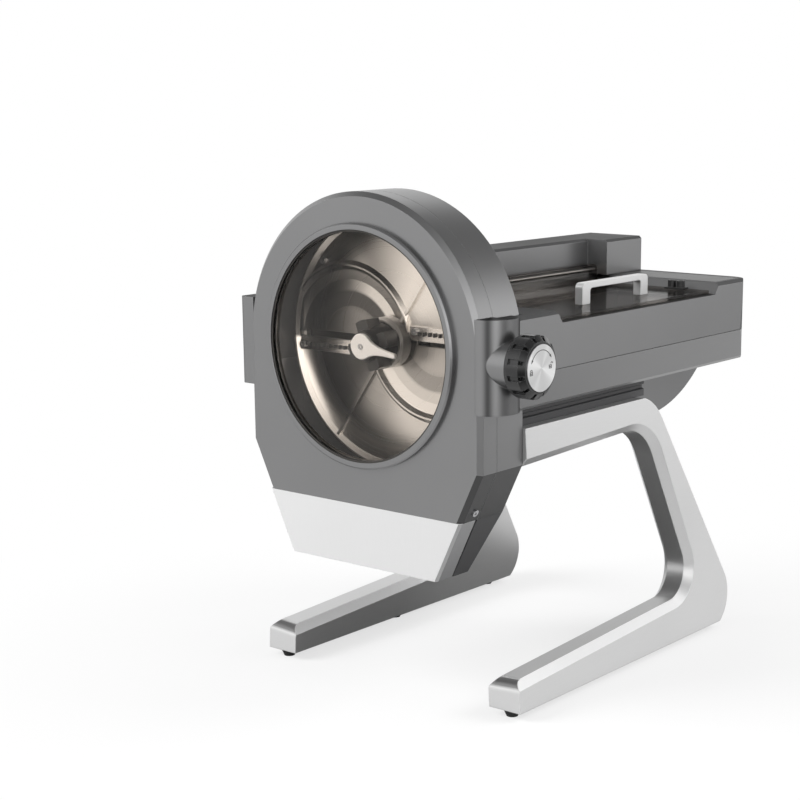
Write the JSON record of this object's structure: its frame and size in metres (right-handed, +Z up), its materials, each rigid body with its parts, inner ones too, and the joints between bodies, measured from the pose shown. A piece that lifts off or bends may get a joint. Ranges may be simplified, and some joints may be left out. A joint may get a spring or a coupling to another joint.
{
  "type": "electric vegetable cutter",
  "caption": "Tabletop electric vegetable cutter: round-windowed cutting head with a hinged door, slicing disc and chute, belt-fed trough with a smoked lid, on two open C-shaped legs.",
  "frame": {"origin": "on the table under the rubber feet, in the middle of the footprint", "axes": "+Z up, -Y towards the windowed cutting head at the front, +X towards the lock knob"},
  "size_m": [0.3211, 0.422, 0.4385],
  "materials": {
    "body_grey": "fine satin grey moulding",
    "body_light": "satin light grey moulding",
    "dark_trim": "dark grey fine texture",
    "deck_gloss": "glossy black panel",
    "leg_metal": "satin painted cast aluminium",
    "white_plate": "smooth near-white coating on sheet metal",
    "smoked": "smoked clear polycarbonate",
    "smoked_dark": "dark smoked clear lid",
    "rubber": "matt black rubber",
    "black_plastic": "black moulded grip",
    "steel": "fine brushed stainless steel",
    "polished": "polished steel",
    "silver_grip": "satin silver",
    "zinc": "zinc plated steel",
    "motor_paint": "dark motor paint",
    "belt_rubber": "ribbed belt rubber",
    "rocker_red": "glossy red"
  },
  "bodies": {
    "frame": {"left_leg": "leg_metal", "right_leg": "leg_metal", "rubber_feet": "rubber", "leg_rails": "dark_trim", "leg_bolts": "zinc", "lower_body_shell": "body_grey", "upper_body_shell": "body_grey", "motor_cowl": "body_grey", "hinge_tower": "body_light", "deck_panel": "deck_gloss", "bulkhead": "zinc", "rear_head_housing": "body_grey", "rear_chute": "dark_trim", "trough_liner": "steel", "feed_belt": "belt_rubber", "roller_bearings": "black_plastic", "feed_motor": "motor_paint", "drive_motor": "motor_paint", "motor_bracket": "zinc", "drive_belt": "belt_rubber", "shaft_bearing": "zinc", "latch_strike": "zinc", "door_hinge_bracket": "dark_trim", "door_hinge_pin": "steel", "lid_hinge_rod": "steel", "lid_hinge_post": "dark_trim", "body_screws": "zinc", "mains_inlet": "black_plastic", "switch_frame": "black_plastic"},
    "door": {"front_cover": "body_grey", "window_ring": "body_grey", "window_pane": "smoked", "window_seal": "rubber", "door_gasket": "rubber", "latch_column": "body_grey", "hinge_block": "body_grey", "chute_plate": "white_plate", "chute_screws": "zinc"},
    "lock": {"lock_grip": "black_plastic", "lock_face": "silver_grip", "lock_shaft": "zinc", "lock_hook": "zinc"},
    "cutter": {"main_shaft": "steel", "large_wheel": "black_plastic", "cutter_disc": "polished", "slicing_blades": "steel", "blade_combs": "black_plastic", "blade_screws": "zinc", "hub_ring": "polished"},
    "clamp": {"clamp_knob": "black_plastic", "clamp_lever": "silver_grip", "clamp_screw": "zinc"},
    "lid": {"lid_panel": "smoked_dark", "lid_handle": "silver_grip", "handle_screws": "zinc", "lid_catch": "zinc"},
    "front_roller": {"front_roller": "steel"},
    "rear_roller": {"rear_roller": "steel"},
    "motor": {"motor_wheel": "zinc"},
    "rocker": {"switch_rocker": "rocker_red"}
  },
  "joints": [
    {"name": "door_hinge", "type": "hinge", "parent": "frame", "child": "door", "pos_m": [-0.14798, -0.1753, 0.3055], "axis": [0, 0, 1], "range_deg": [-105, 0]},
    {"name": "lock_turn", "type": "hinge", "parent": "door", "child": "lock", "pos_m": [0.14152, -0.184, 0.3055], "axis": [1, 0, 0], "range_deg": [-90, 0]},
    {"name": "cutter_spin", "type": "hinge", "parent": "frame", "child": "cutter", "pos_m": [-0.01348, -0.164, 0.309], "axis": [0, 1, 0], "continuous": true},
    {"name": "clamp_turn", "type": "hinge", "parent": "cutter", "child": "clamp", "pos_m": [-0.01348, -0.176, 0.309], "axis": [0, 1, 0], "range_deg": [0, 90]},
    {"name": "lid_hinge", "type": "hinge", "parent": "frame", "child": "lid", "pos_m": [-0.01448, 0.019, 0.346], "axis": [0, 1, 0], "range_deg": [-100, 0]},
    {"name": "rear_roller_spin", "type": "hinge", "parent": "frame", "child": "rear_roller", "pos_m": [0.06052, 0.122, 0.2785], "axis": [1, 0, 0], "continuous": true},
    {"name": "front_roller_spin", "type": "hinge", "parent": "frame", "child": "front_roller", "pos_m": [0.06052, -0.124, 0.2785], "axis": [1, 0, 0], "continuous": true},
    {"name": "motor_spin", "type": "hinge", "parent": "frame", "child": "motor", "pos_m": [-0.0695, -0.133, 0.262], "axis": [0, 1, 0], "continuous": true},
    {"name": "switch_rock", "type": "hinge", "parent": "frame", "child": "rocker", "pos_m": [-0.04748, 0.204, 0.2791], "axis": [1, 0, 0], "range_deg": [0, 16]}
  ],
  "couplings": [
    {"joint": "front_roller_spin", "follows": "rear_roller_spin", "ratio": 1},
    {"joint": "motor_spin", "follows": "cutter_spin", "ratio": 2}
  ]
}
